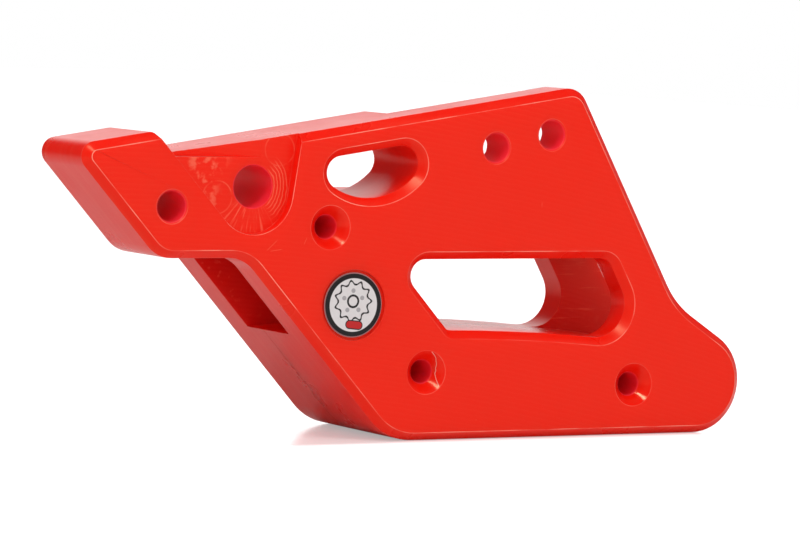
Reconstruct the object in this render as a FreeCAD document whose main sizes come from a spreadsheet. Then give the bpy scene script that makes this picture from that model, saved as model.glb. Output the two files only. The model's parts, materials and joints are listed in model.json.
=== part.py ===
import FreeCAD, Part
import math
import os
import re
from collections import namedtuple

from FreeCAD import Placement, Rotation, Vector
from Sketcher import Constraint

# Chain guide for the rear wheel of a motorcycle, in millimetres.
# Two milled halves meet at an upright joint plane and leave a slot for the chain between them.
# Drawing frame of every sketch: x runs along the guide with 0 at the badge, z runs up from the
# flat base, and depth is measured from the outer face (0) through the joint to the inner face.

SIZES = [
    ("outer_thickness", 24.0, "outer half, from its face to the joint"),
    ("inner_thickness", 18.0, "inner half, from the joint to its face"),
    ("outer_wall", 10.5, "wall left between the outer face and the chain slot"),
    ("post_wall", 8.3, "the same wall behind the window"),
    ("inner_wall", 9.7, "wall left between the chain slot and the inner face"),
    ("edge_break", 1.9, "45 degree chamfer on the outer face and the window"),

    ("toe_slope", 48.0, "slope of the toe, in degrees from level"),
    ("post_slope", 60.8, "slope of the rear edge above the lobe"),
    ("top_slope", 9.0, "slope of the top edge"),
    ("lobe_slope", 33.0, "slope that runs down onto the lobe"),

    ("nose_span", 42.692, "from the throat to the end of the nose"),
    ("toe_corner", 11.03, "where the toe's slope would meet the base"),
    ("toe_radius", 15.0, "toe to base"),
    ("throat_radius", 9.0, "toe to nose"),
    ("nose_height", 44.3, "underside of the nose and roof of the chain slot"),
    ("foot_radius", 8.0, "lower corner of the nose"),
    ("tip_radius", 3.5, "upper corner of the nose"),
    ("nose_rise", 6.3, "how far the nose stands above the line of the top edge"),
    ("shoulder_radius", 1.6, "rear corner of the nose"),
    ("step_radius", 1.5, "foot of the step behind the nose"),
    ("top_rise", 31.76, "from the slot's roof up to the top edge, straight above the badge"),
    ("crest_place", 61.96, "from the badge to the highest corner"),
    ("crest_radius", 5.8, "highest corner"),
    ("hollow_radius", 22.0, "hollow between rear edge and lobe"),
    ("lobe_radius", 12.8, "round end of the lobe"),
    ("lobe_run", 15.856, "along the slope, from that end's arc to the rear edge"),

    ("inner_drop", 17.26, "from the top edge down to the flat top of the inner half"),
    ("inner_cut_lift", 2.2, "from the slot's roof up to where the inner half leaves the toe"),
    ("inner_cut_slope", 38.7, "slope of the inner half's upper corner"),
    ("inner_cut_radius", 6.0, "both ends of that slope"),

    ("slot_height", 17.8, "from the slot's roof down to the highest point of its floor"),
    ("floor_crown", 22.0, "from the badge to that point"),
    ("floor_radius", 470.0, "crown of the floor, so that the chain slides in a curve"),
    ("slot_overrun", 30.0, "how far the slot's cutter runs past both ends"),
    ("post_cut_place", 50.0, "from the badge to where the wall gets thinner"),

    ("window_lip", 0.6, "from the slot's roof down to the window"),
    ("window_start", 39.68, "along the base, from the toe's slope to the window"),
    ("post_width", 13.8, "along the base, from the window to the rear edge"),
    ("window_top_radius", 4.0, "upper corners of the window"),
    ("window_toe_radius", 1.5, "lower front corner of the window"),
    ("window_rear_radius", 8.0, "lower rear corner of the window"),

    ("pocket_drop", 7.0, "from the top edge down to the small window"),
    ("pocket_height", 10.6, "small window, at its middle"),
    ("pocket_place", 3.9, "from the badge to the middle of its round bottom, on the top edge"),
    ("pocket_front_play", 1.3, "half its height, less the radius of its front corner"),
    ("pocket_rear_play", 0.8, "half its height, less the radius of its rear corner"),

    ("lug_thickness", 12.5, "what the outer half keeps beside the swingarm's lug"),
    ("lug_seat_place", 14.4, "from the badge to the step of that seat, at the top edge"),
    ("lug_seat_lift", 0.9, "from the inner half's top up to the seat's lower edge"),
    ("lug_seat_radius", 5.0, "inside corner of the seat"),

    ("seat_radius", 10.1, "round end of the recess for the bolt's head"),
    ("seat_place", 27.2, "from the badge to the middle of that end"),
    ("seat_drop", 16.16, "from the top edge down to that middle"),
    ("seat_depth", 2.8, "depth of the recess's flat floor"),
    ("seat_rear_slope", 81.6, "slope of the recess's rear wall"),
    ("ledge_drop", 8.06, "from the top edge down to the ledge below the ramp"),
    ("ramp_place", 24.5, "from the badge to where the ramp leaves the flat floor"),
    ("ramp_tilt", 14.0, "tilt of the ramp, deeper to the front"),

    ("bolt_bore", 10.2, "hole for the mounting bolt"),
    ("bolt_place", 26.48, "from the badge to that hole"),
    ("bolt_drop", 15.01, "from the top edge down to that hole"),
    ("nose_bore", 7.35, "hole in the nose"),
    ("nose_bore_setback", 22.75, "from the end of the nose back to that hole"),
    ("nose_bore_lift", 12.2, "from the nose's underside up to that hole"),
    ("lug_bore", 7.1, "holes for the two lug bolts"),
    ("lug_bore_setback", 23.91, "from the highest corner back to the first of them"),
    ("lug_bore_drop", 15.153, "from the highest corner down to the first of them"),
    ("lug_bore_step", 15.5, "from the first to the second, along the guide"),
    ("lug_bore_climb", 3.24, "from the first to the second, upwards"),
    ("lug_bore_break", 1.5, "chamfer of these holes on the lug's side"),
    ("bore_break", 0.4, "chamfer of plain holes on the outer face"),

    ("screw_bore", 5.7, "clearance holes of the screws that join the halves"),
    ("screw_head", 10.56, "rim of the countersinks"),
    ("screw_angle", 82.0, "angle of the countersinks"),
    ("screw_pilot", 4.2, "holes that the screws' threads are cut in"),
    ("pilot_depth", 14.0, "depth of those holes in the inner half"),
    ("front_screw_place", 6.86, "from the badge to the screw by the recess"),
    ("base_screw_place", 20.39, "from the badge to the middle screw"),
    ("base_screw_drop", 9.98, "from the slot's floor down to that screw"),
    ("lobe_screw_setback", 31.87, "from the lobe's end to the screw in the lobe"),
    ("lobe_screw_height", 12.47, "height of that screw"),

    ("badge_drop", 11.3, "from the slot's roof down to the middle of the badge"),
    ("badge_diameter", 15.0, "badge"),
    ("badge_thickness", 0.6, "badge"),
    ("badge_gap", 1.0, "gap round the badge in its recess"),
    ("badge_recess", 0.8, "depth of the badge's recess"),
]

# Sizes that follow from the ones above.
DERIVED = [
    ("top_height", "nose_height + top_rise", "top edge, straight above the badge"),
    ("crest_height", "top_height + crest_place*tan(top_slope)", "highest corner"),
    ("rear_foot", "crest_place + crest_height/tan(post_slope)", "rear edge, drawn on to the base"),
    ("lobe_arc_height", "lobe_radius*(1 + cos(lobe_slope))", "where the lobe's arc begins"),
    ("hollow_height", "lobe_arc_height + lobe_run*sin(lobe_slope)", "where it meets the rear edge"),
    ("lobe_arc_place", "rear_foot - hollow_height/tan(post_slope) + lobe_run*cos(lobe_slope)",
     "where the lobe's arc begins"),
    ("lobe_reach", "lobe_arc_place + lobe_radius*(1 - sin(lobe_slope))", "end of the lobe"),
    ("nose_reach", "nose_height/tan(toe_slope) - toe_corner + nose_span", "end of the nose"),
    ("floor_height", "nose_height - slot_height", "highest point of the chain slot's floor"),
    ("inner_height", "top_height - inner_drop", "flat top of the inner half"),
    ("inner_cut_height", "nose_height + inner_cut_lift", "where that half leaves the toe"),
    ("seat_height", "top_height - seat_drop", "middle of the recess's round end"),
    ("ledge_height", "top_height - ledge_drop", "ledge in the recess"),
    ("bolt_height", "top_height - bolt_drop", "hole for the mounting bolt"),
    ("nose_bore_place", "nose_reach - nose_bore_setback", "hole in the nose"),
    ("nose_bore_height", "nose_height + nose_bore_lift", "hole in the nose"),
    ("lug_bore_place", "crest_place - lug_bore_setback", "first hole for a lug bolt"),
    ("lug_bore_height", "crest_height - lug_bore_drop", "first hole for a lug bolt"),
    ("front_screw_height", "(nose_height + inner_height)/2", "screw by the recess"),
    ("base_screw_height", "floor_height - base_screw_drop", "middle screw"),
    ("lobe_screw_place", "lobe_reach - lobe_screw_setback", "screw in the lobe"),
    ("badge_height", "nose_height - badge_drop", "middle of the badge"),
    ("pocket_radius", "pocket_drop + pocket_height", "round bottom of the small window"),
    ("pocket_front_radius", "pocket_height/2 - pocket_front_play", "its front corner"),
    ("pocket_rear_radius", "pocket_height/2 - pocket_rear_play", "its rear corner"),
]

SHEET = "Sizes"

doc = FreeCAD.newDocument("ChainGuide")
sheet = doc.addObject("Spreadsheet::Sheet", SHEET)
for row, (alias, size, note) in enumerate(SIZES + DERIVED, start=1):
    sheet.set(f"A{row}", note)
    sheet.set(f"B{row}", f"={size}" if isinstance(size, str) else str(size))
    sheet.setAlias(f"B{row}", alias)
doc.recompute()


def bound(text):
    """The expression with every size's name pointing at its cell."""
    return re.sub(r"[a-z]+(_[a-z]+)+", lambda name: f"{SHEET}.{name.group(0)}", text)


def value(text):
    """The number that an expression has now."""
    result = sheet.evalExpression(bound(text))
    return float(getattr(result, "Value", result))


# Sides of an outline, in the drawing frame. Angles are in degrees from level.
# An outline is walked with its inside on the left. A Bow that bulges outwards is walked
# anticlockwise (turn 1), and one that bulges inwards is walked clockwise (turn -1).
Line = namedtuple("Line", "x z angle way")
Bow = namedtuple("Bow", "x z radius turn")
EAST, WEST = 1, -1

BASE = Line("0", "0", "0", EAST)
TOE = Line("toe_corner", "0", "-toe_slope", EAST)
NOSE_UNDER = Line("0", "nose_height", "0", EAST)
TIP_X = "tip_radius - nose_reach"
TIP_Z = f"top_height + nose_rise + ({TIP_X})*tan(top_slope) - tip_radius/cos(top_slope)"
NOSE_FRONT = Line(f"{TIP_X} - tip_radius*sin(toe_slope)", f"{TIP_Z} - tip_radius*cos(toe_slope)",
                  "-toe_slope", EAST)
NOSE_TOP = Line("0", "top_height + nose_rise", "top_slope", WEST)
STEP_BACK = Line("-seat_place", "0", "90", EAST)
STEP = Line("-seat_place - seat_radius*sin(toe_slope)", "seat_height - seat_radius*cos(toe_slope)",
            "-toe_slope", WEST)
TOP = Line("0", "top_height", "top_slope", WEST)
REAR = Line("crest_place", "crest_height", "-post_slope", WEST)
LOBE = Line("lobe_arc_place", "lobe_arc_height", "-lobe_slope", WEST)
INNER_TOP = Line("0", "inner_height", "0", WEST)
INNER_CUT = Line("toe_corner - inner_cut_height/tan(toe_slope)", "inner_cut_height",
                 "inner_cut_slope", WEST)
SLOT_FLOOR = Bow("floor_crown", "floor_height - floor_radius", "floor_radius", -1)


def heading(side, at):
    """Unit vector along a side where it passes the point."""
    if isinstance(side, Line):
        angle = math.radians(value(side.angle))
        return Vector(math.cos(angle), math.sin(angle), 0) * side.way
    spoke = at - Vector(value(side.x), value(side.z), 0)
    spoke.normalize()
    return Vector(-spoke.y, spoke.x, 0) * side.turn


def left_of(direction):
    return Vector(-direction.y, direction.x, 0)


def crossing(first, second, shift=0.0):
    """Where two sides meet, both moved to their left by shift."""
    if isinstance(first, Line) and isinstance(second, Line):
        start, run = shifted_line(first, shift)
        other, rise = shifted_line(second, shift)
        return start + run * ((other - start).dot(left_of(rise)) / run.dot(left_of(rise)))
    straight, bow = (first, second) if isinstance(first, Line) else (second, first)
    start, run = shifted_line(straight, shift)
    centre = Vector(value(bow.x), value(bow.z), 0)
    radius = value(bow.radius) - bow.turn * shift
    middle = (centre - start).dot(run)
    reach = math.sqrt(radius ** 2 - (centre - start).dot(left_of(run)) ** 2)
    leaves = straight is first
    return start + run * (middle + (reach if leaves == (bow.turn > 0) else -reach))


def shifted_line(line, shift):
    run = heading(line, None)
    return Vector(value(line.x), value(line.z), 0) + left_of(run) * shift, run


def foot_on(side, point):
    """The point of a side that lies nearest."""
    if isinstance(side, Line):
        start, run = shifted_line(side, 0.0)
        return start + run * (point - start).dot(run)
    centre = Vector(value(side.x), value(side.z), 0)
    spoke = point - centre
    spoke.normalize()
    return centre + spoke * value(side.radius)


def arc_between(centre, start, end, turn):
    """An arc of less than half a turn, and which of its ends is walked first."""
    first, last = (start, end) if turn > 0 else (end, start)
    angles = [math.atan2((p - centre).y, (p - centre).x) for p in (first, last)]
    circle = Part.Circle(centre, Vector(0, 0, 1), (first - centre).Length)
    return Part.ArcOfCircle(circle, angles[0], angles[1]), (1, 2) if turn > 0 else (2, 1)


def pin_point(sketch, geometry, position, x, z):
    """Holds a point of the sketch at a place given by two expressions."""
    for kind, axis, text in (("DistanceX", -2, x), ("DistanceY", -1, z)):
        if text == "0":
            sketch.addConstraint(Constraint("PointOnObject", geometry, position, axis))
        else:
            row = sketch.addConstraint(Constraint(kind, geometry, position, value(text)))
            sketch.setExpression(f"Constraints[{row}]", bound(text))


def hold_side(sketch, geometry, side):
    """Ties a drawn side to the expressions that place it."""
    if isinstance(side, Bow):
        pin_point(sketch, geometry, 3, side.x, side.z)
        row = sketch.addConstraint(Constraint("Radius", geometry, value(side.radius)))
        sketch.setExpression(f"Constraints[{row}]", bound(side.radius))
        return
    anchor = sketch.addGeometry(Part.Point(Vector(value(side.x), value(side.z), 0)), True)
    pin_point(sketch, anchor, 1, side.x, side.z)
    sketch.addConstraint(Constraint("PointOnObject", anchor, 1, geometry))
    if side.angle == "0":
        sketch.addConstraint(Constraint("Horizontal", geometry))
        return
    angle = side.angle if side.way == EAST else f"180 + {side.angle}"
    row = sketch.addConstraint(Constraint("Angle", geometry, math.radians(value(angle))))
    sketch.setExpression(f"Constraints[{row}]", bound(angle))


def new_sketch(body, name, depth="0"):
    """An empty upright sketch at a depth behind the outer face."""
    sketch = body.newObject("Sketcher::SketchObject", f"{body.Label}_{name}")
    plane = [p for p in body.Origin.OriginFeatures if p.Role == "XZ_Plane"][0]
    sketch.AttachmentSupport = [(plane, "")]
    sketch.MapMode = "FlatFace"
    if depth != "0":
        sketch.setExpression("AttachmentOffset.Base.z", bound(f"-({depth})"))
    return sketch


def outline(body, name, corners, depth="0"):
    """A closed sketch. Each corner gives the side that ends there and its radius."""
    sketch = new_sketch(body, name, depth)
    walk = []
    for (side, radius), (after, _) in zip(corners, corners[1:] + corners[:1]):
        sharp = crossing(side, after)
        before = heading(side, sharp)
        turn = 1 if before.dot(left_of(heading(after, sharp))) < 0 else -1
        if radius is None:
            walk.append((sharp, sharp, None, None, turn))
            continue
        centre = crossing(side, after, turn * value(radius))
        walk.append((foot_on(side, centre), foot_on(after, centre), centre, radius, turn))

    ends = []
    for (side, _), came, goes in zip(corners, walk[-1:] + walk[:-1], walk):
        start, end = came[1], goes[0]
        if isinstance(side, Line):
            number = sketch.addGeometry(Part.LineSegment(start, end))
            ends.append((number, 1, 2))
        else:
            centre = Vector(value(side.x), value(side.z), 0)
            arc, order = arc_between(centre, start, end, side.turn)
            number = sketch.addGeometry(arc)
            ends.append((number,) + order)
    for (start, end, centre, radius, turn), came, goes in zip(walk, ends, ends[1:] + ends[:1]):
        if radius is None:
            sketch.addConstraint(Constraint("Coincident", came[0], came[2], goes[0], goes[1]))
            continue
        arc, order = arc_between(centre, start, end, turn)
        number = sketch.addGeometry(arc)
        sketch.addConstraint(Constraint("Tangent", came[0], came[2], number, order[0]))
        sketch.addConstraint(Constraint("Tangent", number, order[1], goes[0], goes[1]))
        row = sketch.addConstraint(Constraint("Radius", number, value(radius)))
        sketch.setExpression(f"Constraints[{row}]", bound(radius))
    for (side, _), (number, _, _) in zip(corners, ends):
        hold_side(sketch, number, side)
    return sketch


def circles(body, name, places, diameter, depth="0"):
    """A sketch of equal circles at the given places."""
    sketch = new_sketch(body, name, depth)
    for x, z in places:
        centre = Vector(value(x), value(z), 0)
        number = sketch.addGeometry(Part.Circle(centre, Vector(0, 0, 1), value(diameter) / 2))
        pin_point(sketch, number, 3, x, z)
        row = sketch.addConstraint(Constraint("Diameter", number, value(diameter)))
        sketch.setExpression(f"Constraints[{row}]", bound(diameter))
    return sketch


def feature(body, kind, name, sketch, length=None, backwards=False):
    """A pad or pocket of a sketch, through all where no length is given."""
    made = body.newObject(f"PartDesign::{kind}", f"{body.Label}_{name}")
    made.Profile = sketch
    made.Reversed = backwards
    if length is None:
        made.Type = "ThroughAll"
    else:
        made.Length = value(length)
        made.setExpression("Length", bound(length))
    doc.recompute()
    return made


def bores(body, name, places, diameter, rim=None, angle=None, depth=None, from_depth="0"):
    """Drilled holes into the half, countersunk where a rim is given."""
    sketch = circles(body, name + "_places", places, diameter, from_depth)
    doc.recompute()
    hole = body.newObject("PartDesign::Hole", f"{body.Label}_{name}")
    hole.Profile = sketch
    hole.ThreadType = "None"
    hole.Diameter = value(diameter)
    hole.setExpression("Diameter", bound(diameter))
    hole.DrillPoint = "Flat"
    hole.DepthType = "ThroughAll"
    if depth is not None:
        hole.DepthType = "Dimension"
        hole.Depth = value(depth)
        hole.setExpression("Depth", bound(depth))
        hole.DrillPoint = "Angled"
    if rim is not None:
        hole.HoleCutType = "Countersink"
        hole.HoleCutCustomValues = True
        hole.HoleCutDiameter = value(rim)
        hole.HoleCutCountersinkAngle = value(angle)
        hole.setExpression("HoleCutDiameter", bound(rim))
        hole.setExpression("HoleCutCountersinkAngle", bound(angle))
    doc.recompute()
    return hole


def chamfer(body, name, base, depth, size, fresh=False):
    """Breaks the edges that lie at a depth, or only those that the base feature made there."""
    level = value(depth)
    older = [edge.CenterOfMass for edge in base.BaseFeature.Shape.Edges] if fresh else []
    chosen = []
    for number, edge in enumerate(base.Shape.Edges, start=1):
        box = edge.BoundBox
        flat = abs(box.YMin - level) < 1e-4 and abs(box.YMax - level) < 1e-4
        known = any(edge.CenterOfMass.isEqual(centre, 1e-4) for centre in older)
        if flat and not known:
            chosen.append(f"Edge{number}")
    made = body.newObject("PartDesign::Chamfer", f"{body.Label}_{name}")
    made.Base = (base, chosen)
    made.Size = value(size)
    made.setExpression("Size", bound(size))
    doc.recompute()
    return made


def new_body(label):
    """A body whose drawing frame is moved so that the guide stands on the middle of its base."""
    body = doc.addObject("PartDesign::Body", label)
    body.Label = label
    body.setExpression("Placement.Base.x", bound("(nose_reach - lobe_reach)/2"))
    body.setExpression("Placement.Base.y", bound("-(outer_thickness + inner_thickness)/2"))
    return body


# Shared outlines of the chain slot and the large window.
WINDOW_CORNERS = [
    (SLOT_FLOOR, "window_rear_radius"),
    (Line("rear_foot - post_width", "0", "-post_slope", WEST), "window_top_radius"),
    (Line("0", "nose_height - window_lip", "0", WEST), "window_top_radius"),
    (Line("toe_corner + window_start", "0", "-toe_slope", EAST), "window_toe_radius"),
]
SLOT_CORNERS = [
    (SLOT_FLOOR, None),
    (Line("lobe_reach + slot_overrun", "0", "90", EAST), None),
    (Line("0", "nose_height", "0", WEST), None),
    (Line("-(nose_reach + slot_overrun)", "0", "90", WEST), None),
]
POST_CUT = (Line("post_cut_place", "0", "90", WEST), None)
SCREW_PLACES = [
    ("-front_screw_place", "front_screw_height"),
    ("base_screw_place", "base_screw_height"),
    ("lobe_screw_place", "lobe_screw_height"),
]


def make_outer_half():
    """The half that faces away from the wheel and carries every mounting hole."""
    body = new_body("outer_half")
    profile = outline(body, "outline", [
        (BASE, "lobe_radius"), (LOBE, "hollow_radius"), (REAR, "crest_radius"),
        (TOP, None), (STEP_BACK, None), (NOSE_TOP, "tip_radius"),
        (NOSE_FRONT, "foot_radius"), (NOSE_UNDER, "throat_radius"), (TOE, "toe_radius")])
    feature(body, "Pad", "plate", profile, "outer_thickness", backwards=True)

    window = outline(body, "window_outline", WINDOW_CORNERS)
    feature(body, "Pocket", "window", window)
    small = outline(body, "small_window_outline", [
        (Bow("pocket_place", "top_height", "pocket_radius", 1), "pocket_rear_radius"),
        (Line("0", "top_height - pocket_drop", "top_slope", WEST), "pocket_front_radius")])
    small_window = feature(body, "Pocket", "small_window", small)
    chamfer(body, "face_chamfer", small_window, "0", "edge_break")

    make_recess(body)
    make_step(body)

    slot = outline(body, "slot_outline", SLOT_CORNERS, "outer_thickness")
    feature(body, "Pocket", "slot", slot, "outer_thickness - outer_wall", backwards=True)
    thin = outline(body, "post_outline", SLOT_CORNERS[:-1] + [POST_CUT], "outer_thickness")
    feature(body, "Pocket", "post_cut", thin, "outer_thickness - post_wall", backwards=True)
    make_lug_seat(body)

    screws = bores(body, "screws", SCREW_PLACES, "screw_bore", "screw_head", "screw_angle")
    bores(body, "bolt_hole", [("-bolt_place", "bolt_height")], "bolt_bore")
    bores(body, "nose_hole", [("-nose_bore_place", "nose_bore_height")], "nose_bore",
          "nose_bore + 2*bore_break", "90")
    lug_places = [("lug_bore_place", "lug_bore_height"),
                  ("lug_bore_place + lug_bore_step", "lug_bore_height + lug_bore_climb")]
    lug_holes = bores(body, "lug_holes", lug_places, "lug_bore", "lug_bore + 2*bore_break", "90")
    chamfer(body, "lug_chamfer", lug_holes, "lug_thickness", "lug_bore_break", fresh=True)

    ring = circles(body, "badge_outline", [("0", "badge_height")],
                   "badge_diameter + 2*badge_gap")
    feature(body, "Pocket", "badge_recess", ring, "badge_recess")
    return body


def make_recess(body):
    """The recess for the bolt's head, and the ramp above its ledge that runs out deeper."""
    front = STEP._replace(way=EAST)
    rear = Line("seat_radius*sin(seat_rear_slope) - seat_place",
                "seat_height - seat_radius*cos(seat_rear_slope)", "seat_rear_slope", EAST)
    seat = outline(body, "seat_outline", [(front, "seat_radius"), (rear, None), (NOSE_TOP, None)])
    feature(body, "Pocket", "seat", seat, "seat_depth")

    ledge = Line("0", "ledge_height", "0", EAST)
    end = Line("-ramp_place", "0", "90", EAST)
    walls = outline(body, "ramp_outline", [(front, None), (ledge, None), (end, None),
                                           (NOSE_TOP, None)])
    floor = body.newObject("PartDesign::Plane", "ramp_floor")
    floor.AttachmentSupport = walls.AttachmentSupport
    floor.MapMode = "FlatFace"
    floor.AttachmentOffset = Placement(Vector(0, 0, 0), Rotation(Vector(0, -1, 0), 1))
    floor.setExpression("AttachmentOffset.Base.x", bound("-ramp_place"))
    floor.setExpression("AttachmentOffset.Base.z", bound("-seat_depth"))
    floor.setExpression("AttachmentOffset.Rotation.Angle", bound("ramp_tilt"))
    doc.recompute()
    ramp = body.newObject("PartDesign::Pocket", f"{body.Label}_ramp")
    ramp.Profile = walls
    ramp.Type = "UpToFace"
    ramp.UpToFace = (floor, [""])
    doc.recompute()


def make_step(body):
    """Cuts the nose back to the line of the recess's front wall, with sharp outer edges."""
    above = Line("0", "top_height + nose_rise + slot_overrun", "top_slope", WEST)
    front = Line("-(nose_reach + slot_overrun)", "0", "90", WEST)
    cut = outline(body, "step_outline", [
        (NOSE_TOP._replace(way=EAST), "shoulder_radius"), (STEP._replace(way=EAST), "step_radius"),
        (TOP._replace(way=EAST), None), (STEP_BACK, None), (above, None), (front, None)])
    feature(body, "Pocket", "step", cut)


def make_lug_seat(body):
    """The thinned corner that the lug of the swingarm bolts against."""
    step = Line("lug_seat_place", "top_height + lug_seat_place*tan(top_slope)", "-post_slope",
                EAST)
    ledge = Line("0", "inner_height + lug_seat_lift", "0", EAST)
    beyond = Line("lobe_reach + slot_overrun", "0", "90", EAST)
    above = Line("0", "top_height + slot_overrun", "top_slope", WEST)
    seat = outline(body, "lug_outline",
                   [(step, "lug_seat_radius"), (ledge, None), (beyond, None), (above, None)],
                   "outer_thickness")
    feature(body, "Pocket", "lug_seat", seat, "outer_thickness - lug_thickness",
            backwards=True)


def make_inner_half():
    """The half that faces the wheel. It takes the threads of the screws."""
    body = new_body("inner_half")
    profile = outline(body, "outline", [
        (BASE, "lobe_radius"), (LOBE, "hollow_radius"), (REAR, "crest_radius"),
        (INNER_TOP, "inner_cut_radius"), (INNER_CUT, "inner_cut_radius"),
        (TOE, "toe_radius")], "outer_thickness")
    feature(body, "Pad", "plate", profile, "inner_thickness", backwards=True)
    window = outline(body, "window_outline", WINDOW_CORNERS, "outer_thickness")
    opened = feature(body, "Pocket", "window", window)
    chamfer(body, "window_chamfer", opened, "outer_thickness + inner_thickness", "edge_break",
            fresh=True)
    slot = outline(body, "slot_outline", SLOT_CORNERS, "outer_thickness")
    feature(body, "Pocket", "slot", slot, "inner_thickness - inner_wall")
    bores(body, "pilots", SCREW_PLACES, "screw_pilot", depth="pilot_depth",
          from_depth="outer_thickness")
    return body


def make_badge():
    """The round badge, set a little below the outer face."""
    body = new_body("badge")
    face = circles(body, "outline", [("0", "badge_height")], "badge_diameter", "badge_recess")
    feature(body, "Pad", "disc", face, "badge_thickness")
    return body


def check(pieces):
    """Stops before anything is written if a feature failed or a piece is not one sound solid."""
    for item in doc.Objects:
        if {"Invalid", "Error"} & set(item.State):
            raise RuntimeError(f"{item.Name} could not be worked out: {item.State}")
    for piece in pieces:
        if piece.Shape.isNull() or not piece.Shape.isValid() or len(piece.Shape.Solids) != 1:
            raise RuntimeError(f"{piece.Label} is not one sound solid")
        before = 0.0
        for item in piece.Group:
            if not item.isDerivedFrom("PartDesign::Feature"):
                continue
            adds = item.TypeId == "PartDesign::Pad"
            if (item.Shape.Volume > before) != adds:
                raise RuntimeError(f"{item.Name} points away from the solid")
            before = item.Shape.Volume


PIECES = [make_outer_half(), make_inner_half(), make_badge()]
doc.recompute()
check(PIECES)
os.makedirs("parts", exist_ok=True)
for solid in PIECES:
    solid.Shape.exportStep(os.path.join("parts", f"{solid.Label}.step"))
    box = solid.Shape.BoundBox
    print(solid.Label, round(solid.Shape.Volume), [round(v, 2) for v in (
        box.XMin, box.XMax, box.YMin, box.YMax, box.ZMin, box.ZMax)])
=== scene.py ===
import json
import math

import bpy
from mathutils import Matrix, Vector


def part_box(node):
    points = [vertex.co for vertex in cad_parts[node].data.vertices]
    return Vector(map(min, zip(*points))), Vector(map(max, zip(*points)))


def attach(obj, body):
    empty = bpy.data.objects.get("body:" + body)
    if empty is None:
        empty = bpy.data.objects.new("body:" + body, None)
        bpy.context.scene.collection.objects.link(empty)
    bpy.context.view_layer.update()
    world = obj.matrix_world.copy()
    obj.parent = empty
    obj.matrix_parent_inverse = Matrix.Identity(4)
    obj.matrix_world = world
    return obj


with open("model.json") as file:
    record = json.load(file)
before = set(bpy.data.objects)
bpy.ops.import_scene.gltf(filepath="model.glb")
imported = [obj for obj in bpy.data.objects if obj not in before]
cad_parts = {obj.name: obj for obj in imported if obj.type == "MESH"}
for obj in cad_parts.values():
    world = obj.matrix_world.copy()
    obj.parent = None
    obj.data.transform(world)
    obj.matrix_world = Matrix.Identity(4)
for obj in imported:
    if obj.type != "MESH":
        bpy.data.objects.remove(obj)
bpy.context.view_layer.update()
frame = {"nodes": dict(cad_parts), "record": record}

MM = 0.001


def mount(name):
    """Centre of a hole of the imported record, in metres."""
    return Vector(next(m["pos_m"] for m in frame["record"]["mounts"] if m["name"] == name))


# Depths of the near face, the joint between the halves, the slot's near wall and its inside.
FACE_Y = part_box("outer_half")[0].y
JOINT_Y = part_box("outer_half")[1].y
SLOT_Y = FACE_Y + 10.1 * MM
SLOT_IN_Y = FACE_Y + 10 * MM

# The bolt's recess: from its flat seat down to the deepest of the ramp above it.
BOLT = mount("bolt_hole")
SEAT_TOP_Y = FACE_Y + 2.3 * MM
SEAT_LOW_Y = FACE_Y + 3.2 * MM
RAMP_LOW_Y = FACE_Y + 6.0 * MM

# The three countersinks, by the radius at the cone's root and rim, and the cone's full angle.
SINK_HOLES = ("screw_hole_front", "screw_hole_base", "screw_hole_lobe")
SINK_ROOT = 3.1 * MM
SINK_RIM = 5.28 * MM
SINK_ANGLE = math.radians(82.0)

# Camera, as fitted to the photograph.
CAMERA_PLACE = Vector((-0.52770, -0.95753, 0.11481))
CAMERA_AZIMUTH = math.radians(29.05)
CAMERA_DIP = math.radians(3.88)
CAMERA_ROLL = math.radians(-1.75)
CAMERA_LENS = 201.8
CAMERA_SENSOR = 36.0
CAMERA_REACH = (0.05, 20.0)

# The plastic's colours: lit faces, cloudy patches, bores painted lighter as painted light through
# the plastic, painted shade deep in the slot, joint, marks, burrs.
RED = (0.90, 0.010, 0.003, 1.0)
DEEP_RED = (0.82, 0.008, 0.003, 1.0)
# Painted light: a brighter crimson for the bores' walls, in place of light glowing through the
# plastic.
BORE_PAINTED_LIGHT = (1.0, 0.022, 0.048, 1.0)
SLOT_SHADE_RED = (0.66, 0.004, 0.007, 1.0)
JOINT_DARK = (0.22, 0.010, 0.010, 1.0)
WORN_RED = (0.98, 0.14, 0.08, 1.0)
BURR = (1.0, 0.36, 0.27, 1.0)
SWARF = (1.0, 0.50, 0.40, 1.0)

# The badge's colours. The field and the ring vary between two each.
FIELD_COLOURS = ((0.68, 0.65, 0.64, 1.0), (0.76, 0.73, 0.73, 1.0))
RING_COLOURS = ((0.006, 0.005, 0.006, 1.0), (0.016, 0.014, 0.015, 1.0))
INK_DARK = (0.020, 0.017, 0.018, 1.0)
INK_GREY = (0.42, 0.40, 0.41, 1.0)
INK_RED = (0.58, 0.003, 0.003, 1.0)
# Painted reflection: the badge's pale rim, tinted pink by the red plastic around it.
RIM_PAINTED_REFLECTION = (0.50, 0.22, 0.22, 1.0)
WHITE = (1.0, 1.0, 1.0, 1.0)


def make_camera():
    data = bpy.data.cameras.new("camera")
    data.lens = CAMERA_LENS
    data.sensor_width = CAMERA_SENSOR
    data.clip_start, data.clip_end = CAMERA_REACH
    camera = bpy.data.objects.new("camera", data)
    bpy.context.scene.collection.objects.link(camera)
    level = math.cos(CAMERA_DIP)
    ahead = Vector((math.sin(CAMERA_AZIMUTH) * level, math.cos(CAMERA_AZIMUTH) * level,
                    -math.sin(CAMERA_DIP)))
    right = ahead.cross(Vector((0, 0, 1))).normalized()
    right = Matrix.Rotation(CAMERA_ROLL, 3, ahead) @ right
    up = right.cross(ahead)
    turned = Matrix((right, up, -ahead)).transposed().to_4x4()
    camera.matrix_world = Matrix.Translation(CAMERA_PLACE) @ turned
    bpy.context.scene.camera = camera


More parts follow.
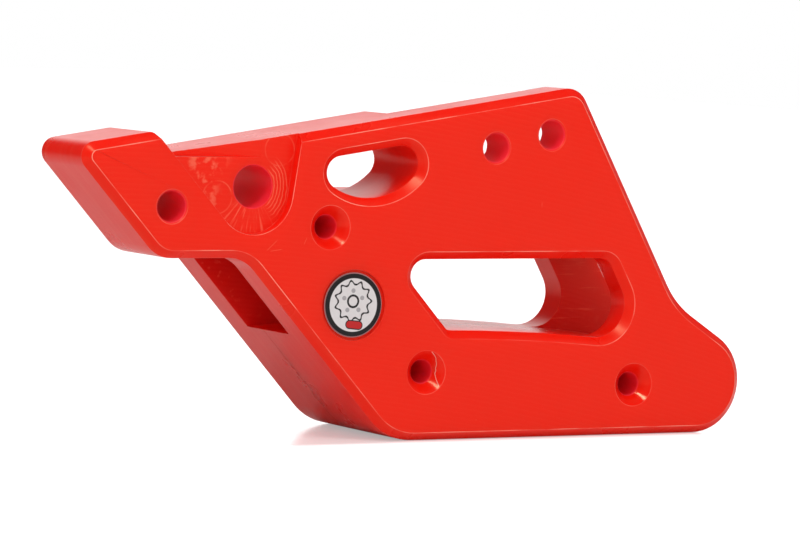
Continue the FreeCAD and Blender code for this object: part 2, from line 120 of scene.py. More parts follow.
def node(tree, kind, inputs=None, **settings):
    """Adds a shader node, sets its properties and links or sets its inputs."""
    made = tree.nodes.new(kind)
    for key, setting in settings.items():
        setattr(made, key, setting)
    for key, given in (inputs or {}).items():
        if isinstance(given, bpy.types.NodeSocket):
            tree.links.new(given, made.inputs[key])
        else:
            made.inputs[key].default_value = given
    return made


def new_material(name):
    """An empty material and its node tree."""
    made = bpy.data.materials.new(name)
    made.use_nodes = True
    made.node_tree.nodes.clear()
    return made, made.node_tree


def place_on_object(tree):
    return node(tree, "ShaderNodeTexCoord").outputs["Object"]


def end_with(tree, shader):
    node(tree, "ShaderNodeOutputMaterial", {"Surface": shader})


def plastic(tree, inputs):
    """Ends a material with one principled shader."""
    end_with(tree, node(tree, "ShaderNodeBsdfPrincipled", inputs).outputs["BSDF"])


def mapped(tree, value, low, high, to_low=0.0, to_high=1.0, **settings):
    """A value, changed from low..high to to_low..to_high."""
    made = node(tree, "ShaderNodeMapRange", {"Value": value, "From Min": low, "From Max": high,
                                             "To Min": to_low, "To Max": to_high}, **settings)
    return made.outputs["Result"]


def combine(tree, operation, first, *others):
    """A value combined with each of the others in turn, or changed alone where there are none."""
    for other in others or (0.0,):
        made = node(tree, "ShaderNodeMath", {0: first, 1: other}, operation=operation)
        first = made.outputs["Value"]
    return first


def times(tree, *values):
    return combine(tree, "MULTIPLY", *values)


def total(tree, *values):
    return combine(tree, "ADD", *values)


def most(tree, *values):
    return combine(tree, "MAXIMUM", *values)


def colour_mix(tree, share, first, second):
    made = node(tree, "ShaderNodeMix", {0: share, 6: first, 7: second}, data_type="RGBA")
    return made.outputs[2]


def axes(tree, vector):
    """A vector's X, Y and Z."""
    return node(tree, "ShaderNodeSeparateXYZ", {"Vector": vector}).outputs


def seen_from(tree, place, centre):
    """The place, measured from a centre."""
    made = node(tree, "ShaderNodeMapping", {"Vector": place, "Location": -Vector(centre)})
    return made.outputs["Vector"]


def noise(tree, place, scale, detail=2.0, stretch=None):
    """Noise at a scale per metre, stretched along the axes if asked."""
    if stretch:
        place = node(tree, "ShaderNodeMapping", {"Vector": place, "Scale": stretch})
        place = place.outputs["Vector"]
    made = node(tree, "ShaderNodeTexNoise", {"Vector": place, "Scale": scale, "Detail": detail})
    return made.outputs["Fac"]


def rings(tree, place, centre, scale, distortion):
    """Rings round a point of the upright face, such as the marks of a milling cutter."""
    made = node(tree, "ShaderNodeTexWave",
                {"Vector": seen_from(tree, place, centre), "Scale": scale,
                 "Distortion": distortion, "Detail": 3.0, "Detail Scale": 2.0},
                wave_type="RINGS", rings_direction="Y")
    return made.outputs["Fac"]


def bumped(tree, height, strength, distance, before=None):
    inputs = {"Height": height, "Strength": strength, "Distance": distance}
    if before is not None:
        inputs["Normal"] = before
    return node(tree, "ShaderNodeBump", inputs).outputs["Normal"]


def polar(tree, place, centre):
    """Distance from a point of the upright face and the angle round it, in turns."""
    parts = axes(tree, seen_from(tree, place, centre))
    squares = [times(tree, parts[axis], parts[axis]) for axis in "XZ"]
    reach = combine(tree, "SQRT", total(tree, *squares))
    turn = combine(tree, "ARCTAN2", parts["Z"], parts["X"])
    return reach, combine(tree, "DIVIDE", turn, 2 * math.pi)


def band(tree, value, low, high, soft):
    """1 between low and high, with soft ends."""
    rise = mapped(tree, value, low - soft, low + soft)
    fall = mapped(tree, value, high - soft, high + soft, 1.0, 0.0)
    return times(tree, rise, fall)


# Soft ends of a band, where nothing else is said: of a length and of an angle in turns.
FINE_SOFT = 0.1 * MM
TURN_SOFT = 0.02

# Marks in the bolt's recess. REACH is the distance from the bolt's hole, TURNS are the angles
# round it, and CUT gives the levels of a noise or wave at which a mark begins and is full.
ARC_TURNS = (-0.14, 0.12)
ARC_REACH = (5.2 * MM, 9.3 * MM)
ARC_SOFT = 0.3 * MM
ARC_WAVES = 7200.0
ARC_WOBBLE = 9.0
ARC_CUT = (0.2, 1.0)

SPOKE_TURNS = (-0.38, -0.17)
SPOKE_REACH = (5.4 * MM, 11.0 * MM)
SPOKE_SOFT = 0.4 * MM
SPOKES_AROUND = 90.0
SPOKES_OUTWARD = 120.0
SPOKE_CUT = (0.52, 0.68)

PATCH_TURNS = ((0.30, 0.60), (-0.60, -0.42))
PATCH_REACH = (9.5 * MM, 19.0 * MM)
PATCH_SOFT = 1.5 * MM
PATCH_CUT = (0.50, 0.64)

# Plunges of the cutter: their middles, across and up from the bolt's hole, and the ring's width.
PLUNGES = ((6.9 * MM, 8.8 * MM), (-9.3 * MM, -2.5 * MM))
PLUNGE_REACH = (3.7 * MM, 4.0 * MM)
PLUNGE_CUT = (0.40, 0.60)
PLUNGE_SHARE = 0.7


def cutter_arcs(tree, place, reach, turn):
    """Fine arcs beside the bolt's hole."""
    wobble = noise(tree, place, scale=300.0, detail=3.0)
    wave = total(tree, times(tree, reach, ARC_WAVES), times(tree, wobble, ARC_WOBBLE))
    lines = mapped(tree, combine(tree, "SINE", wave), *ARC_CUT)
    return times(tree, lines, band(tree, turn, *ARC_TURNS, TURN_SOFT),
                 band(tree, reach, *ARC_REACH, ARC_SOFT))


def cutter_spokes(tree, reach, turn):
    """Streaks that fan out below the bolt's hole."""
    fan = node(tree, "ShaderNodeCombineXYZ", {"X": times(tree, turn, SPOKES_AROUND),
                                              "Y": times(tree, reach, SPOKES_OUTWARD)})
    streaks = noise(tree, fan.outputs["Vector"], scale=1.0)
    return times(tree, mapped(tree, streaks, *SPOKE_CUT),
                 band(tree, turn, *SPOKE_TURNS, TURN_SOFT),
                 band(tree, reach, *SPOKE_REACH, SPOKE_SOFT))


def rough_patches(tree, place, reach, turn):
    """Torn patches on the side of the seat away from the arcs."""
    patches = mapped(tree, noise(tree, place, scale=480.0, detail=5.0), *PATCH_CUT)
    beyond = band(tree, reach, *PATCH_REACH, PATCH_SOFT)
    aside = most(tree, *[band(tree, turn, *turns, TURN_SOFT) for turns in PATCH_TURNS])
    return times(tree, patches, times(tree, beyond, aside))


def recess_marks(tree, place, depth):
    """Cutter marks on the floor of the bolt's recess."""
    reach, turn = polar(tree, place, BOLT)
    seat = band(tree, depth, SEAT_TOP_Y, SEAT_LOW_Y, FINE_SOFT)
    marks = most(tree, cutter_arcs(tree, place, reach, turn), cutter_spokes(tree, reach, turn),
                 rough_patches(tree, place, reach, turn))
    marks = times(tree, marks, seat)
    ramp = band(tree, depth, SEAT_TOP_Y, RAMP_LOW_Y, FINE_SOFT)
    broken = mapped(tree, noise(tree, place, scale=260.0, detail=3.0), *PLUNGE_CUT,
                    0.0, PLUNGE_SHARE)
    for across, up in PLUNGES:
        away = polar(tree, place, BOLT + Vector((across, 0.0, up)))[0]
        plunge = times(tree, band(tree, away, *PLUNGE_REACH, FINE_SOFT), ramp)
        marks = most(tree, marks, times(tree, plunge, broken))
    return marks


# How far outside a bore's wall its colour reaches, with a soft end.
BORE_FADE = (0.10 * MM, 0.25 * MM)


def bores():
    """Centre and radius of each drilled hole."""
    return [(hole["pos_m"], hole["dims"]["r_mm"] * MM)
            for hole in frame["record"]["mounts"] if hole["kind"] == "bore"]


def in_bores(tree, place):
    """1 on the walls of the drilled holes."""
    found = 0.0
    for centre, radius in bores():
        reach = polar(tree, place, centre)[0]
        inside = mapped(tree, reach, *[radius + fade for fade in BORE_FADE], 1.0, 0.0)
        found = most(tree, inside, found)
    return found


def in_countersinks(tree, place, wall):
    """1 on the cones of the three countersinks."""
    cones = 0.0
    for hole in SINK_HOLES:
        reach = polar(tree, place, mount(hole))[0]
        cones = most(tree, band(tree, reach, SINK_ROOT, SINK_RIM, FINE_SOFT), cones)
    return times(tree, cones, wall)


# Specks: cells per metre, a speck's soft radius in cells, and the draws that give a cell one.
SPECK_CELLS = 110.0
SPECK_RADIUS = (0.010, 0.026)
SPECK_DRAWS = (0.62, 0.66)


def specks(tree, place):
    """A few tiny pale specks, one in some of the cells."""
    cells = node(tree, "ShaderNodeTexVoronoi", {"Vector": place, "Scale": SPECK_CELLS})
    near = mapped(tree, cells.outputs["Distance"], *SPECK_RADIUS, 1.0, 0.0)
    draw = axes(tree, cells.outputs["Color"])["X"]
    return times(tree, near, mapped(tree, draw, *SPECK_DRAWS))


# Rims with little burr: the window's low side, by its place across and up, and the bores and
# the badge, by the radii where it fades. LEFT is the share that is left there.
WINDOW_ACROSS = (-8 * MM, 46 * MM)
WINDOW_UP = (20 * MM, 42 * MM)
WINDOW_LEFT = 0.2
BORE_RIM = (5.4 * MM, 6.4 * MM)
BORE_LEFT = 0.35
BADGE_RIM = (9.0 * MM, 9.5 * MM)
BADGE_LEFT = 0.1


def quiet_rims(tree, place):
    """Less than 1 on the rims that have little burr: the window's low side, holes, the badge."""
    parts = axes(tree, place)
    low_side = times(tree, band(tree, parts["Z"], *WINDOW_UP, 1 * MM),
                     band(tree, parts["X"], *WINDOW_ACROSS, 3 * MM))
    level = mapped(tree, low_side, 0.0, 1.0, 1.0, WINDOW_LEFT)
    rims = [(centre, BORE_RIM, BORE_LEFT) for centre, _ in bores()]
    rims.append((badge_centre(), BADGE_RIM, BADGE_LEFT))
    for centre, rim, left in rims:
        reach = polar(tree, place, centre)[0]
        level = combine(tree, "MINIMUM", level, mapped(tree, reach, *rim, left, 1.0))
    return level


# Scratches on the near face: start across and up in mm, angle in degrees, length in mm.
SCRATCHES = ((-43.4, 46.2, 42, 3.4), (-42.4, 46.0, 8, 2.9), (-33.6, 47.6, 66, 1.6),
             (31.5, 56.5, 90, 1.0))
SCRATCH_HALF_WIDTH = 0.04 * MM
SCRATCH_SOFT_ENDS = 0.3 * MM
SCRATCH_SOFT_SIDES = 0.08 * MM


def scratch(tree, place, start, degrees, length):
    """A fine straight scratch on an upright face, from a start point."""
    turned = node(tree, "ShaderNodeVectorRotate",
                  {"Vector": seen_from(tree, place, start), "Angle": math.radians(degrees)},
                  rotation_type="Y_AXIS")
    parts = axes(tree, turned.outputs["Vector"])
    return times(tree, band(tree, parts["X"], 0.0, length, SCRATCH_SOFT_ENDS),
                 band(tree, parts["Z"], -SCRATCH_HALF_WIDTH, SCRATCH_HALF_WIDTH,
                      SCRATCH_SOFT_SIDES))


def face_scratches(tree, place, depth):
    """The scratches, on the near face alone."""
    face = mapped(tree, depth, FACE_Y + 0.1 * MM, FACE_Y + 0.3 * MM, 1.0, 0.0)
    found = 0.0
    for across, up, degrees, length in SCRATCHES:
        line = scratch(tree, place, (across * MM, 0.0, up * MM), degrees, length * MM)
        found = most(tree, line, found)
    return times(tree, found, face)


# Wear in the chain's slot: where along the guide the chips fade and the rub marks begin.
CHIPS_FADE = (-40 * MM, -25 * MM)
CHIPS_LEFT = 0.15
CHIPS_CUT = (0.60, 0.70)
RUBS_BEGIN = (25 * MM, 45 * MM)
RUBS_STRETCH = (90.0, 90.0, 900.0)
RUBS_CUT = (0.58, 0.72)

# How strongly the pale marks show.
RECESS_SHARE = 0.8
SCUFF_SHARE = 0.35


def slot_scuffs(tree, place, depth, across):
    """Chips at the front of the chain's slot, and rub marks towards its rear."""
    inside = mapped(tree, depth, SLOT_IN_Y, SLOT_IN_Y + 1 * MM)
    chips = mapped(tree, noise(tree, place, scale=520.0, detail=5.0), *CHIPS_CUT)
    chips = times(tree, chips, mapped(tree, across, *CHIPS_FADE, 1.0, CHIPS_LEFT))
    rubs = noise(tree, place, scale=1.0, detail=3.0, stretch=RUBS_STRETCH)
    rubs = times(tree, mapped(tree, rubs, *RUBS_CUT), mapped(tree, across, *RUBS_BEGIN))
    return times(tree, most(tree, chips, rubs), inside)


def pale_marks(tree, place, depth, across, flat):
    """All pale marks on the flat faces: recess, slot, specks and scratches."""
    recess = times(tree, recess_marks(tree, place, depth), flat)
    scuffs = times(tree, slot_scuffs(tree, place, depth, across), flat)
    marks = most(tree, times(tree, recess, RECESS_SHARE), times(tree, scuffs, SCUFF_SHARE))
    marks = most(tree, marks, times(tree, specks(tree, place), flat))
    return most(tree, marks, face_scratches(tree, place, depth))


# The dark joint line: its half width and soft sides, and where along the guide it begins.
JOINT_HALF_WIDTH = 0.10 * MM
JOINT_SOFT = 0.06 * MM
JOINT_BEGINS = (-20 * MM, -5 * MM)
JOINT_SHARE = 0.7


def joint_line(tree, depth, across):
    """The joint between the halves, dark from the middle of the guide to its rear."""
    line = band(tree, depth, JOINT_Y - JOINT_HALF_WIDTH, JOINT_Y + JOINT_HALF_WIDTH, JOINT_SOFT)
    return times(tree, line, mapped(tree, across, *JOINT_BEGINS, 0.0, JOINT_SHARE))


# Burrs: the depth at which those of the near face fade, how broken they are, and the slot's,
# which grow towards the rear.
BURRS_FADE = (FACE_Y + 0.3 * MM, FACE_Y + 0.6 * MM)
BURRS_DEEP = 0.15
BURRS_CUT = (0.38, 0.62)
BURR_SHARES = (0.15, 0.8)
SLOT_BURR_HALF_WIDTH = 0.4 * MM
SLOT_BURRS_GROW = (20 * MM, 30 * MM)
SLOT_BURR_SHARES = (0.2, 0.8)


def burrs(tree, place, depth, across):
    """Broken pale lines along the rims of the near face and of the slot's near wall."""
    near = mapped(tree, depth, *BURRS_FADE, 1.0, BURRS_DEEP)
    broken = mapped(tree, noise(tree, place, scale=130.0, detail=5.0), *BURRS_CUT, *BURR_SHARES)
    near = times(tree, near, times(tree, broken, quiet_rims(tree, place)))
    inside = band(tree, depth, SLOT_Y - SLOT_BURR_HALF_WIDTH, SLOT_Y + SLOT_BURR_HALF_WIDTH,
                  FINE_SOFT)
    inside = times(tree, inside, mapped(tree, across, *SLOT_BURRS_GROW, *SLOT_BURR_SHARES))
    return most(tree, near, inside)


# A face is wall where its normal's Y is under the first of these, and flat over the second.
FLAT_FROM = (0.75, 0.95)
# Milling arcs on the faces: their middle lies far below the guide's front end.
ARCS_MIDDLE = (-0.10, 0.0, -0.62)
ARCS_SCALE = 260.0
ARCS_DISTORTION = 2.0
# Milling lines that run along the walls, as the stretch of a noise.
LINES_STRETCH = (40.0, 650.0, 40.0)
# How strongly clouds, arcs, lines and the painted shade deep in the slot show in the colour.
CLOUD_SHARE = 0.10
ARCS_SHARE = 0.035
LINES_SHARE = 0.10
SLOT_SHADE_SHARE = 0.7
SLOT_SHADE_DEPTH = 6 * MM
# Roughness of the walls, in patches, and what flat faces, bores and countersinks change.
ROUGHNESS = (0.26, 0.34)
FLAT_ROUGHER = 0.12
BORE_ROUGHER = 0.25
SINK_SMOOTHER = 0.13
# Gloss, and the light that goes into faces, broken edges and pale marks, and how far it goes.
SPECULAR_LEVEL = 0.36
SPECULAR_TINT = (1.0, 0.85, 0.5, 1.0)
INNER_FACE = 0.6
INNER_EDGE = 0.10
INNER_MARK = 0.05
INNER_RADIUS = (1.0, 0.08, 0.04)
INNER_SCALE = 7 * MM


def milled_red(name, worn=False):
    """Milled polyethylene: cutter marks on the faces and along the walls, fine grain, wear, with
    painted shade deep in the slot and painted light in the bores.
    """
    made, tree = new_material(name)
    place = place_on_object(tree)
    depth = axes(tree, place)["Y"]
    across = axes(tree, place)["X"]
    facing = node(tree, "ShaderNodeNewGeometry").outputs["Normal"]
    flat = mapped(tree, combine(tree, "ABSOLUTE", axes(tree, facing)["Y"]), *FLAT_FROM)
    wall = combine(tree, "SUBTRACT", 1.0, flat)

    arcs = rings(tree, place, ARCS_MIDDLE, ARCS_SCALE, ARCS_DISTORTION)
    lines = noise(tree, place, scale=1.0, detail=0.0, stretch=LINES_STRETCH)
    grain = noise(tree, place, scale=500.0, detail=0.0)
    clouds = noise(tree, place, scale=60.0, detail=3.0)
    pale = pale_marks(tree, place, depth, across, flat)
    drilled = in_bores(tree, place)

    shade = mapped(tree, clouds, 0.35, 0.65, 0.0, CLOUD_SHARE)
    streaks = total(tree, times(tree, mapped(tree, arcs, 0.55, 1.0, 0.0, ARCS_SHARE), flat),
                    times(tree, mapped(tree, lines, 0.5, 0.8, 0.0, LINES_SHARE), wall))
    # Painted shade: flat faces deeper inside the slot are mixed towards a darker red.
    slot_shade = mapped(tree, depth, SLOT_IN_Y, SLOT_IN_Y + SLOT_SHADE_DEPTH, 0.0, SLOT_SHADE_SHARE)
    colour = colour_mix(tree, shade, RED, DEEP_RED)
    colour = colour_mix(tree, streaks, colour, WORN_RED)
    # Painted light: the walls of the drilled holes are made a brighter crimson, standing in for
    # light that glows through the plastic.
    colour = colour_mix(tree, drilled, colour, BORE_PAINTED_LIGHT)
    colour = colour_mix(tree, times(tree, slot_shade, flat), colour, SLOT_SHADE_RED)
    colour = colour_mix(tree, pale, colour, WORN_RED)
    colour = colour_mix(tree, joint_line(tree, depth, across), colour, JOINT_DARK)
    if worn:
        colour = colour_mix(tree, burrs(tree, place, depth, across), colour, BURR)

    rough = total(tree, mapped(tree, clouds, 0.3, 0.7, *ROUGHNESS),
                  times(tree, flat, FLAT_ROUGHER), times(tree, drilled, BORE_ROUGHER))
    polish = times(tree, in_countersinks(tree, place, wall), SINK_SMOOTHER)

    normal = bumped(tree, grain, strength=0.06, distance=0.2 * MM)
    normal = bumped(tree, times(tree, arcs, flat), 0.05, 0.4 * MM, before=normal)
    normal = bumped(tree, times(tree, lines, wall), 0.15, 0.1 * MM, before=normal)
    normal = bumped(tree, pale, 0.3, 0.2 * MM, before=normal)

    inner = mapped(tree, pale, 0.0, 0.6, INNER_EDGE if worn else INNER_FACE, INNER_MARK)
    plastic(tree, {"Base Color": colour, "Roughness": combine(tree, "SUBTRACT", rough, polish),
                   "Normal": normal, "Specular IOR Level": SPECULAR_LEVEL,
                   "Specular Tint": SPECULAR_TINT, "Subsurface Weight": inner,
                   "Subsurface Radius": INNER_RADIUS, "Subsurface Scale": INNER_SCALE})
    return made


# The badge's print, from its centre: where its pale field ends, and its rim, sunk in the recess.
FIELD_EDGE = (6.36 * MM, 6.44 * MM)
RIM_OUTER = 7.78 * MM
RIM_INNER = 7.5 * MM
RIM_THICKNESS = 0.10 * MM
RIM_SUNK = 0.3 * MM
INK_THICKNESS = 0.02 * MM

# The chain wheel: root and tip of its teeth outside and inside the line, hub and small holes.
WHEEL_MIDDLE = (-0.1 * MM, 0.9 * MM)
WHEEL_TEETH = 11
WHEEL_OUTSIDE = (4.25 * MM, 5.2 * MM)
WHEEL_INSIDE = (3.8 * MM, 4.7 * MM)
HUB_OUTER = 1.65 * MM
HUB_INNER = 1.15 * MM
WHEEL_HOLES = 5
HOLE_REACH = 2.55 * MM
HOLE_RADIUS = 0.55 * MM

# The link below the wheel: a red bar with a dark edge line.
LINK_MIDDLE = (0.3 * MM, -4.75 * MM)
LINK_TILT = math.radians(-6)
LINK_LENGTH = 4.7 * MM
LINK_WIDTH = 2.2 * MM
LINK_LINE = 0.25 * MM

# The thread of swarf in the base countersink: degrees round its axis and distance from it in mm.
SWARF_COURSE = ((74, 5.17), (62, 4.85), (48, 4.55), (39, 4.20), (26, 4.05), (14, 3.65),
                (3, 3.70), (-9, 3.50), (-20, 3.80), (-30, 4.15), (-38, 4.70), (-43, 5.12))
SWARF_RADIUS = 0.07 * MM


def badge_centre():
    low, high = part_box("badge")
    return (low + high) / 2


def badge_print():
    """A printed disc: a dark ring round a pale field."""
    made, tree = new_material("badge_print")
    place = place_on_object(tree)
    reach = polar(tree, place, badge_centre())[0]
    field = colour_mix(tree, noise(tree, place, scale=900.0), *FIELD_COLOURS)
    dark = colour_mix(tree, noise(tree, place, scale=1500.0), *RING_COLOURS)
    colour = colour_mix(tree, mapped(tree, reach, *FIELD_EDGE), field, dark)
    normal = bumped(tree, noise(tree, place, scale=700.0), strength=0.08, distance=0.1 * MM)
    plastic(tree, {"Base Color": colour, "Roughness": 0.32, "Normal": normal})
    return made


def ink(name, colour):
    """Printed ink, slightly uneven."""
    made, tree = new_material(name)
    place = place_on_object(tree)
    paler = tuple(0.85 * part + 0.01 for part in colour[:3]) + (1.0,)
    mottled = colour_mix(tree, noise(tree, place, scale=1300.0), colour, paler)
    normal = bumped(tree, noise(tree, place, scale=900.0), strength=0.06, distance=0.1 * MM)
    plastic(tree, {"Base Color": mottled, "Roughness": 0.35, "Normal": normal})
    return made


def piece_from(name, curve, material, *moves):
    """Makes a mesh piece from a curve, moves its points and lets it ride on the guide."""
    drawn = bpy.data.objects.new(name, curve)
    bpy.context.scene.collection.objects.link(drawn)
    shape = drawn.evaluated_get(bpy.context.evaluated_depsgraph_get())
    made = bpy.data.meshes.new_from_object(shape)
    bpy.data.objects.remove(drawn)
    for move in moves:
        made.transform(move)
    made.materials.clear()
    made.materials.append(material)
    piece = bpy.data.objects.new(name, made)
    bpy.context.scene.collection.objects.link(piece)
    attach(piece, "root")
    return piece


def plate(name, outline, holes, thickness, material, sunk=0.0):
    """A thin shape on the badge's face or sunk from it, from points across and up its centre."""
    curve = bpy.data.curves.new(name, "CURVE")
    curve.dimensions = "2D"
    curve.fill_mode = "BOTH"
    curve.extrude = thickness / 2
    for ring in [outline] + holes:
        spline = curve.splines.new("POLY")
        spline.points.add(len(ring) - 1)
        for point, (across, up) in zip(spline.points, ring):
            point.co = (across, up, 0.0, 1.0)
        spline.use_cyclic_u = True
    middle = badge_centre()
    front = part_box("badge")[0].y - thickness + sunk
    piece = piece_from(name, curve, material, Matrix.Rotation(math.radians(90), 4, "X"),
                       Matrix.Translation((middle.x, front + thickness / 2, middle.z)))


def thread(name, points, radius, material):
    """A fine thread that follows the points."""
    curve = bpy.data.curves.new(name, "CURVE")
    curve.dimensions = "3D"
    curve.bevel_depth = radius
    curve.bevel_resolution = 2
    curve.use_fill_caps = True
    spline = curve.splines.new("NURBS")
    spline.points.add(len(points) - 1)
    for point, place in zip(spline.points, points):
        point.co = (*place, 1.0)
    spline.use_endpoint_u = True
    spline.order_u = 3
    piece = piece_from(name, curve, material)


def circle(radius, middle=(0.0, 0.0), steps=48):
    """Outline of a circle."""
    turns = [2 * math.pi * step / steps for step in range(steps)]
    return [(middle[0] + radius * math.cos(turn), middle[1] + radius * math.sin(turn))
            for turn in turns]


def toothed(root, tip):
    """Outline of the chain wheel, with rounded gaps between its teeth."""
    steps = 12 * WHEEL_TEETH
    points = []
    for step in range(steps):
        turn = 2 * math.pi * step / steps
        wave = (0.5 + 0.5 * math.cos(WHEEL_TEETH * turn)) ** 1.6
        reach = root + (tip - root) * wave
        points.append((WHEEL_MIDDLE[0] + reach * math.cos(turn),
                       WHEEL_MIDDLE[1] + reach * math.sin(turn)))
    return points


def pill(length, width, steps=12):
    """Outline of the link, a tilted bar with round ends."""
    points = []
    for side in (1, -1):
        for step in range(steps + 1):
            turn = side * math.pi / 2 - math.pi * step / steps
            along = side * (length - width) / 2 + width / 2 * math.cos(turn)
            across = width / 2 * math.sin(turn)
            points.append((LINK_MIDDLE[0] + along * math.cos(LINK_TILT)
                           - across * math.sin(LINK_TILT),
                           LINK_MIDDLE[1] + along * math.sin(LINK_TILT)
                           + across * math.cos(LINK_TILT)))
    return points


def make_motif():
    """A chain wheel above a red link, drawn on the badge."""
    dark = ink("ink_dark", INK_DARK)
    grey = ink("ink_grey", INK_GREY)
    red_ink = ink("ink_red", INK_RED)
    rim = ink("rim_painted_reflection", RIM_PAINTED_REFLECTION)
    # The badge's pale rim, whose pink is a painted reflection of the red around it.
    plate("badge_rim", circle(RIM_OUTER), [circle(RIM_INNER)], RIM_THICKNESS, rim, RIM_SUNK)
    plate("wheel_edge", toothed(*WHEEL_OUTSIDE), [toothed(*WHEEL_INSIDE)], INK_THICKNESS, dark)
    plate("wheel_hub", circle(HUB_OUTER, WHEEL_MIDDLE), [circle(HUB_INNER, WHEEL_MIDDLE)],
          INK_THICKNESS, dark)
    for number in range(WHEEL_HOLES):
        turn = 2 * math.pi * (number + 0.25) / WHEEL_HOLES
        place = (WHEEL_MIDDLE[0] + HOLE_REACH * math.cos(turn),
                 WHEEL_MIDDLE[1] + HOLE_REACH * math.sin(turn))
        plate(f"wheel_hole_{number}", circle(HOLE_RADIUS, place, 24), [], INK_THICKNESS, grey)
    plate("link_edge", pill(LINK_LENGTH, LINK_WIDTH), [], 1.5 * INK_THICKNESS, dark)
    plate("link_fill", pill(LINK_LENGTH - 2 * LINK_LINE, LINK_WIDTH - 2 * LINK_LINE), [],
          2 * INK_THICKNESS, red_ink)


def on_cone(hole, degrees, reach):
    """A point on a countersink, at an angle and a distance round its axis."""
    middle = mount(hole)
    turn = math.radians(degrees)
    deep = (SINK_RIM - reach) / math.tan(SINK_ANGLE / 2)
    return (middle.x + reach * math.cos(turn), FACE_Y + deep, middle.z + reach * math.sin(turn))


def make_swarf():
    """A thread of swarf left by the cutter in one countersink."""
    points = [on_cone("screw_hole_base", turn, reach * MM) for turn, reach in SWARF_COURSE]
    thread("burr_countersink", points, SWARF_RADIUS, ink("burr_pale", SWARF))


# Broken edges of the two halves. Edges sharper than SHARP are broken.
EDGE_WIDTH = 0.11 * MM
WELD_REACH = 0.002 * MM
NEARLY_FLAT = math.radians(0.4)
SHARP = math.radians(28)


def round_edges(piece):
    """Breaks the sharp edges of a CAD node. Its second material goes on the broken edges."""
    weld = piece.modifiers.new("weld", "WELD")
    weld.merge_threshold = WELD_REACH
    flat = piece.modifiers.new("flat", "DECIMATE")
    flat.decimate_type = "DISSOLVE"
    flat.angle_limit = NEARLY_FLAT
    edge = piece.modifiers.new("edge", "BEVEL")
    edge.width = EDGE_WIDTH
    edge.segments = 2
    edge.limit_method = "ANGLE"
    edge.angle_limit = SHARP
    edge.material = 1
    edge.miter_outer = "MITER_ARC"
    edge.use_clamp_overlap = False
    shade = piece.modifiers.new("shade", "WEIGHTED_NORMAL")
    shade.keep_sharp = True


def dress(piece, *materials):
    """Gives a CAD node its materials."""
    piece.data.materials.clear()
    for material in materials:
        piece.data.materials.append(material)


# The floor: its middle and size, how far it lies below the guide, and its paleness. It glosses
# behind the guide's near face, and hardly before it.
FLOOR_MIDDLE = (0.1, 1.35)
FLOOR_SIZE = (3.0, 3.4)
FLOOR_DROP = 0.05 * MM
FLOOR_GREY = (0.85, 0.85, 0.85, 1.0)
FLOOR_GLOW = 0.85
FLOOR_IOR = 1.3
FLOOR_ROUGHNESS = 0.16
GLOSS_FROM_Y = FACE_Y - 6 * MM
GLOSS_BEFORE = 0.25
GLOSS_BEHIND = 1.1


def make_stage():
    """A plain pale floor, which camera rays see as white, with a faint reflection."""
    bpy.ops.mesh.primitive_plane_add(size=1.0, location=(*FLOOR_MIDDLE, -FLOOR_DROP))
    floor = bpy.context.object
    floor.name = "floor"
    floor.scale = (*FLOOR_SIZE, 1.0)
    made, tree = new_material("floor")
    seen = node(tree, "ShaderNodeLightPath").outputs["Is Camera Ray"]
    paper = node(tree, "ShaderNodeBsdfDiffuse", {"Color": FLOOR_GREY})
    glow = node(tree, "ShaderNodeEmission",
                {"Color": WHITE, "Strength": times(tree, seen, FLOOR_GLOW)})
    lit = node(tree, "ShaderNodeAddShader", {0: paper.outputs["BSDF"],
                                            1: glow.outputs["Emission"]})
    gloss = node(tree, "ShaderNodeBsdfGlossy", {"Color": WHITE, "Roughness": FLOOR_ROUGHNESS})
    place = node(tree, "ShaderNodeNewGeometry").outputs["Position"]
    share = times(tree, node(tree, "ShaderNodeFresnel", {"IOR": FLOOR_IOR}).outputs["Fac"],
                  mapped(tree, axes(tree, place)["Y"], GLOSS_FROM_Y, FACE_Y,
                         GLOSS_BEFORE, GLOSS_BEHIND))
    both = node(tree, "ShaderNodeMixShader", {0: share, 1: lit.outputs["Shader"],
                                              2: gloss.outputs["BSDF"]})
    end_with(tree, both.outputs["Shader"])
    floor.data.materials.append(made)


# The world, by the X, Y and Z of a ray's direction. Glossy rays meet a bright room behind the
# guide on the right and a dark one elsewhere.
MIRROR_BEHIND = (0.42, 0.75)
MIRROR_RIGHT = (-0.1, 0.3)
MIRROR_BRIGHT = 1.18
MIRROR_DARK = 0.06
# The soft light on the guide, from the front to behind, from level to above, from left to right.
SOFT_FRONT_BEHIND = (1.20, 0.40)
SOFT_LEVEL_ABOVE = (1.0, 0.7)
SOFT_LEFT_RIGHT = (0.85, 1.1)
CLEAR_WHITE = 1.0

KEY_PLACE = Vector((-0.50, -0.48, 1.08))
KEY_TARGET = Vector((0.0, 0.0, 0.04))
KEY_SIZE = 0.24
KEY_POWER = 4.7


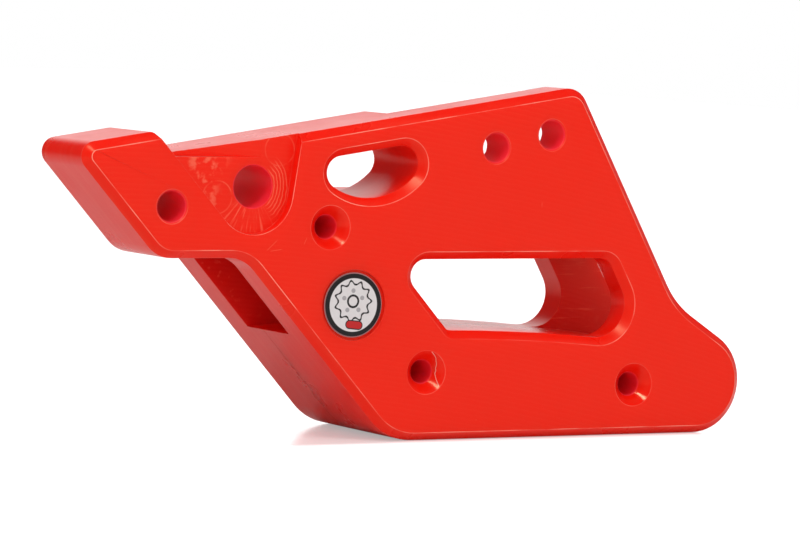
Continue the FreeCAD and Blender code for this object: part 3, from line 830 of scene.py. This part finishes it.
def make_world():
    """Plain white for camera rays, with separate rooms for gloss and for soft light."""
    world = bpy.data.worlds.new("world")
    bpy.context.scene.world = world
    world.use_nodes = True
    tree = world.node_tree
    tree.nodes.clear()
    path = node(tree, "ShaderNodeLightPath").outputs
    way = axes(tree, node(tree, "ShaderNodeTexCoord").outputs["Generated"])
    behind = mapped(tree, way["Y"], *MIRROR_BEHIND, 0.0, MIRROR_BRIGHT,
                    interpolation_type="SMOOTHSTEP")
    right = mapped(tree, way["X"], *MIRROR_RIGHT, interpolation_type="SMOOTHSTEP")
    mirror = most(tree, times(tree, behind, right), MIRROR_DARK)
    soft = times(tree, mapped(tree, way["Y"], -1.0, 1.0, *SOFT_FRONT_BEHIND),
                 mapped(tree, way["Z"], 0.0, 1.0, *SOFT_LEVEL_ABOVE),
                 mapped(tree, way["X"], -1.0, 1.0, *SOFT_LEFT_RIGHT))
    level = node(tree, "ShaderNodeMix", {0: path["Is Glossy Ray"], 2: soft, 3: mirror})
    clear = most(tree, path["Is Camera Ray"], path["Is Transmission Ray"])
    level = node(tree, "ShaderNodeMix", {0: clear, 2: level.outputs[0], 3: CLEAR_WHITE})
    back = node(tree, "ShaderNodeBackground", {"Color": WHITE, "Strength": level.outputs[0]})
    node(tree, "ShaderNodeOutputWorld", {"Surface": back.outputs["Background"]})


def make_key_light():
    """One soft square lamp, high above the guide and a little to its left."""
    data = bpy.data.lights.new("key", "AREA")
    data.shape = "SQUARE"
    data.size = KEY_SIZE
    data.energy = KEY_POWER
    lamp = bpy.data.objects.new("key", data)
    bpy.context.scene.collection.objects.link(lamp)
    lamp.location = KEY_PLACE
    lamp.rotation_euler = (KEY_TARGET - KEY_PLACE).to_track_quat("-Z", "Y").to_euler()


make_camera()
make_stage()
make_world()
make_key_light()

red = milled_red("milled_red")
edge_red = milled_red("edge_red", worn=True)
for name in ("outer_half", "inner_half"):
    piece = frame["nodes"][name]
    dress(piece, red, edge_red)
    round_edges(piece)
badge = frame["nodes"]["badge"]
dress(badge, badge_print())
make_motif()
make_swarf()

scene = bpy.context.scene
scene.view_settings.view_transform = "Standard"
